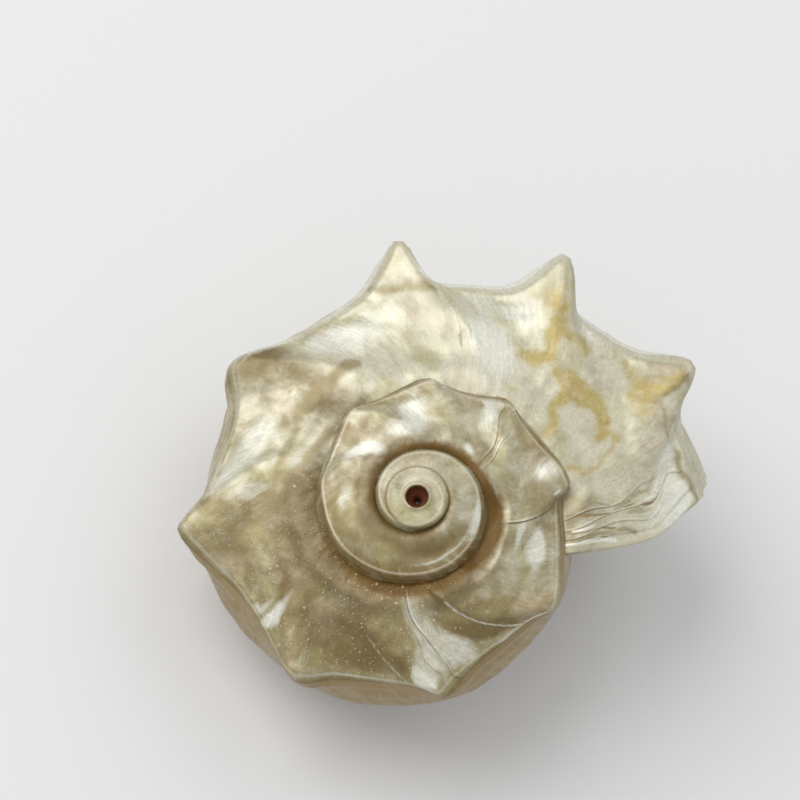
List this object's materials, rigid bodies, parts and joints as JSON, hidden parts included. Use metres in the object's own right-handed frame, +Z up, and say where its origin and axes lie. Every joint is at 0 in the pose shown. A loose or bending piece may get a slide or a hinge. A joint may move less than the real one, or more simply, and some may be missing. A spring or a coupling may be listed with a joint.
{
  "type": "pearled dolphin shell",
  "caption": "Coiled sea-snail shell with a stepped spire, spined shoulder, round open mouth, deep umbilicus and pierced apex, polished down to mother-of-pearl.",
  "frame": {"origin": "centre of the bounding box at the surface that the shell rests on", "axes": "+Z up as it rests, spire uppermost; +X towards the lip side of the last whorl, the longest extent; the mouth faces -Y and down"},
  "size_m": [0.044, 0.0392, 0.021],
  "materials": {
    "nacre": "polished mother-of-pearl, satin, cream to olive with a silvery sheen"
  },
  "bodies": {
    "root": {"shell": "nacre"}
  },
  "joints": []
}
